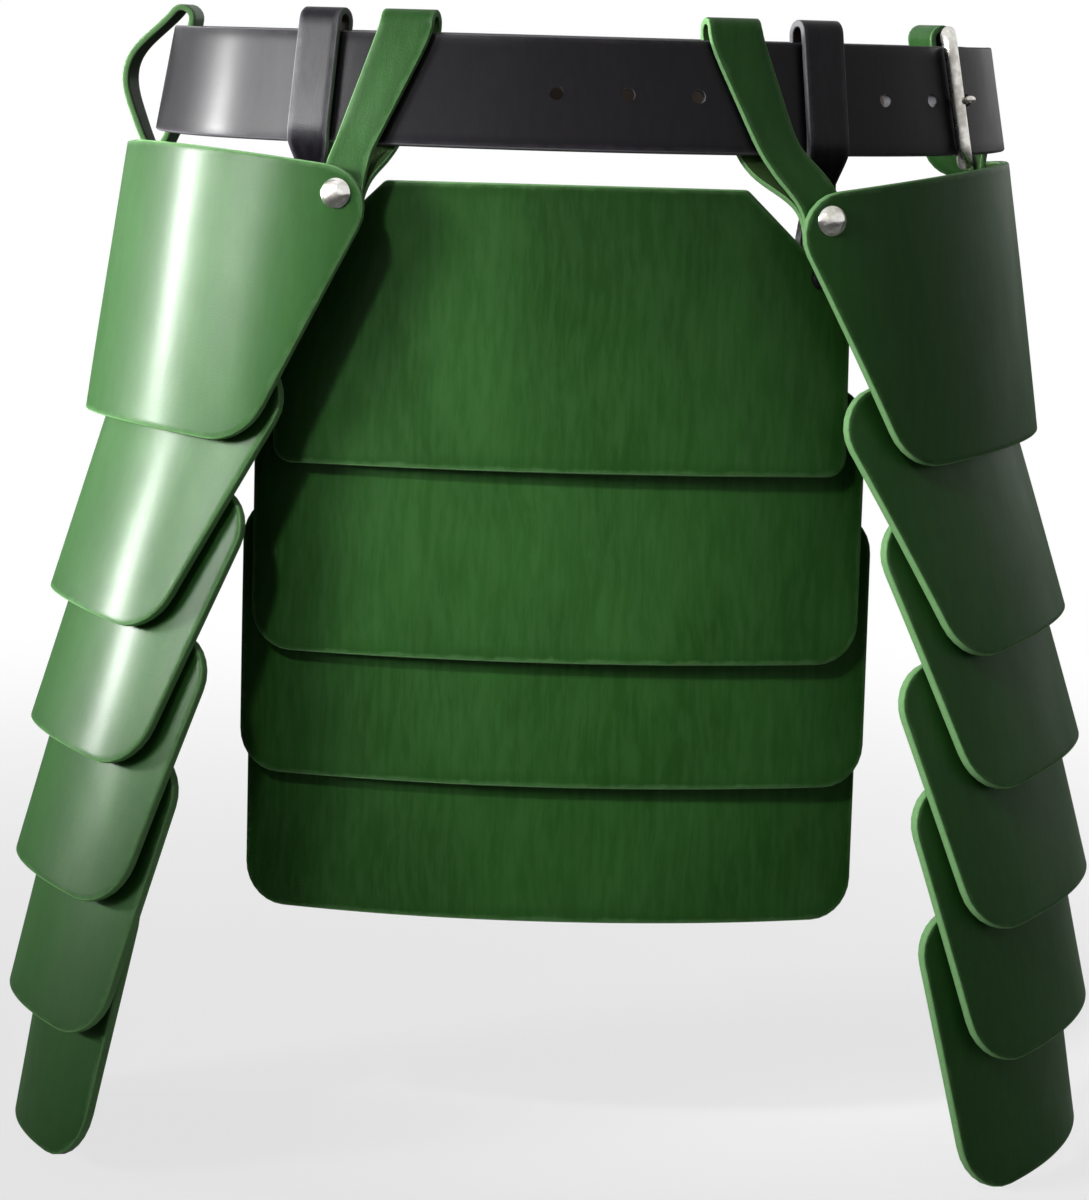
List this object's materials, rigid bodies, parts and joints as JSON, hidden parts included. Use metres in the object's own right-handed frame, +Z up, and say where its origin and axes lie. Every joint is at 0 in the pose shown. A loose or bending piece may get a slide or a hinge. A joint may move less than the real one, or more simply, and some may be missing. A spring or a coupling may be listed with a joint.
{
  "type": "leather armour skirt",
  "caption": "Belted leather armour skirt: a front tasset and two side tassets of overlapping curved lames, hung from a buckled belt on riveted loops.",
  "frame": {"origin": "centre of the belt ring at half the height of the strap", "axes": "+Z up, -Y the wearer's front, +X the side with the buckle (the viewer's right in the picture)"},
  "size_m": [0.4106, 0.2385, 0.4172],
  "materials": {
    "belt_leather": "smooth semi-gloss black leather",
    "black_leather": "black leather with pale cut edges",
    "green_leather": "vegetable-tanned leather dyed forest green, waxed, with lighter cut edges",
    "inner_leather": "matt brown leather straps inside",
    "black_metal": "blackened rivet caps",
    "nickel": "nickel-plated wire and rivet caps"
  },
  "bodies": {
    "belt": {"belt_strap": "belt_leather", "fold_rivets": "nickel", "front_hanger_left": "black_leather", "front_hanger_right": "black_leather", "left_green_hanger": "green_leather", "left_rear_hanger": "green_leather", "right_green_hanger": "green_leather", "right_rear_hanger": "green_leather"},
    "buckle": {"buckle_frame": "nickel"},
    "prong": {"buckle_prong": "nickel"},
    "front_1": {"front_lame_1": "green_leather", "front_rivets_1": "black_metal", "front_leathers_1": "inner_leather"},
    "front_2": {"front_lame_2": "green_leather", "front_rivets_2": "nickel", "front_leathers_2": "inner_leather"},
    "front_3": {"front_lame_3": "green_leather", "front_rivets_3": "nickel", "front_leathers_3": "inner_leather"},
    "front_4": {"front_lame_4": "green_leather", "front_rivets_4": "nickel"},
    "left_1": {"left_lame_1": "green_leather", "left_rivets_1": "nickel", "left_leathers_1": "inner_leather"},
    "left_2": {"left_lame_2": "green_leather", "left_rivets_2": "nickel", "left_leathers_2": "inner_leather"},
    "left_3": {"left_lame_3": "green_leather", "left_rivets_3": "nickel", "left_leathers_3": "inner_leather"},
    "left_4": {"left_lame_4": "green_leather", "left_rivets_4": "nickel", "left_leathers_4": "inner_leather"},
    "left_5": {"left_lame_5": "green_leather", "left_rivets_5": "nickel", "left_leathers_5": "inner_leather"},
    "left_6": {"left_lame_6": "green_leather", "left_rivets_6": "nickel"},
    "right_1": {"right_lame_1": "green_leather", "right_rivets_1": "nickel", "right_leathers_1": "inner_leather"},
    "right_2": {"right_lame_2": "green_leather", "right_rivets_2": "nickel", "right_leathers_2": "inner_leather"},
    "right_3": {"right_lame_3": "green_leather", "right_rivets_3": "nickel", "right_leathers_3": "inner_leather"},
    "right_4": {"right_lame_4": "green_leather", "right_rivets_4": "nickel", "right_leathers_4": "inner_leather"},
    "right_5": {"right_lame_5": "green_leather", "right_rivets_5": "nickel", "right_leathers_5": "inner_leather"},
    "right_6": {"right_lame_6": "green_leather", "right_rivets_6": "nickel"}
  },
  "joints": [
    {"name": "buckle_swing", "type": "hinge", "parent": "belt", "child": "buckle", "pos_m": [0.14049, -0.02614, 0], "axis": [-0.1732, 0.053, 0.9835], "range_deg": [0, 2]},
    {"name": "prong_swing", "type": "hinge", "parent": "buckle", "child": "prong", "pos_m": [0.14049, -0.02614, 0], "axis": [-0.1732, 0.053, 0.9835], "range_deg": [0, 2]},
    {"name": "front_tasset_swing", "type": "hinge", "parent": "belt", "child": "front_1", "pos_m": [0, -0.114, -0.02], "axis": [1, 0, 0], "range_deg": [0, 10], "deforming": ["front_hanger_left", "front_hanger_right"]},
    {"name": "front_2_slide", "type": "slide", "parent": "front_1", "child": "front_2", "axis": [0, 0.0523, 0.9986], "range_m": [0, 0.014], "deforming": ["front_leathers_1"]},
    {"name": "front_3_slide", "type": "slide", "parent": "front_2", "child": "front_3", "axis": [0, 0.0523, 0.9986], "range_m": [0, 0.014], "deforming": ["front_leathers_2"]},
    {"name": "front_4_slide", "type": "slide", "parent": "front_3", "child": "front_4", "axis": [0, 0.0523, 0.9986], "range_m": [0, 0.014], "deforming": ["front_leathers_3"]},
    {"name": "left_tasset_swing", "type": "hinge", "parent": "belt", "child": "left_1", "pos_m": [-0.0777, -0.1015, -0.02], "axis": [-0.5741, 0.8188, 0], "range_deg": [0, 40], "deforming": ["left_green_hanger", "left_rear_hanger"]},
    {"name": "left_2_slide", "type": "slide", "parent": "left_1", "child": "left_2", "axis": [0.2897, 0.1347, 0.9476], "range_m": [0, 0.014], "deforming": ["left_leathers_1"]},
    {"name": "left_3_slide", "type": "slide", "parent": "left_2", "child": "left_3", "axis": [0.2897, 0.1347, 0.9476], "range_m": [0, 0.014], "deforming": ["left_leathers_2"]},
    {"name": "left_4_slide", "type": "slide", "parent": "left_3", "child": "left_4", "axis": [0.2897, 0.1347, 0.9476], "range_m": [0, 0.014], "deforming": ["left_leathers_3"]},
    {"name": "left_5_slide", "type": "slide", "parent": "left_4", "child": "left_5", "axis": [0.2576, 0.1261, 0.958], "range_m": [0, 0.014], "deforming": ["left_leathers_4"]},
    {"name": "left_6_slide", "type": "slide", "parent": "left_5", "child": "left_6", "axis": [0.2153, 0.1146, 0.9698], "range_m": [0, 0.014], "deforming": ["left_leathers_5"]},
    {"name": "right_tasset_swing", "type": "hinge", "parent": "belt", "child": "right_1", "pos_m": [0.0777, -0.1015, -0.02], "axis": [-0.5741, -0.8188, 0], "range_deg": [0, 12], "deforming": ["right_green_hanger", "right_rear_hanger"]},
    {"name": "right_2_slide", "type": "slide", "parent": "right_1", "child": "right_2", "axis": [-0.308, 0.0711, 0.9487], "range_m": [0, 0.014], "deforming": ["right_leathers_1"]},
    {"name": "right_3_slide", "type": "slide", "parent": "right_2", "child": "right_3", "axis": [-0.308, 0.0711, 0.9487], "range_m": [0, 0.014], "deforming": ["right_leathers_2"]},
    {"name": "right_4_slide", "type": "slide", "parent": "right_3", "child": "right_4", "axis": [-0.308, 0.0711, 0.9487], "range_m": [0, 0.014], "deforming": ["right_leathers_3"]},
    {"name": "right_5_slide", "type": "slide", "parent": "right_4", "child": "right_5", "axis": [-0.276, 0.0617, 0.9592], "range_m": [0, 0.014], "deforming": ["right_leathers_4"]},
    {"name": "right_6_slide", "type": "slide", "parent": "right_5", "child": "right_6", "axis": [-0.234, 0.0495, 0.971], "range_m": [0, 0.014], "deforming": ["right_leathers_5"]}
  ]
}
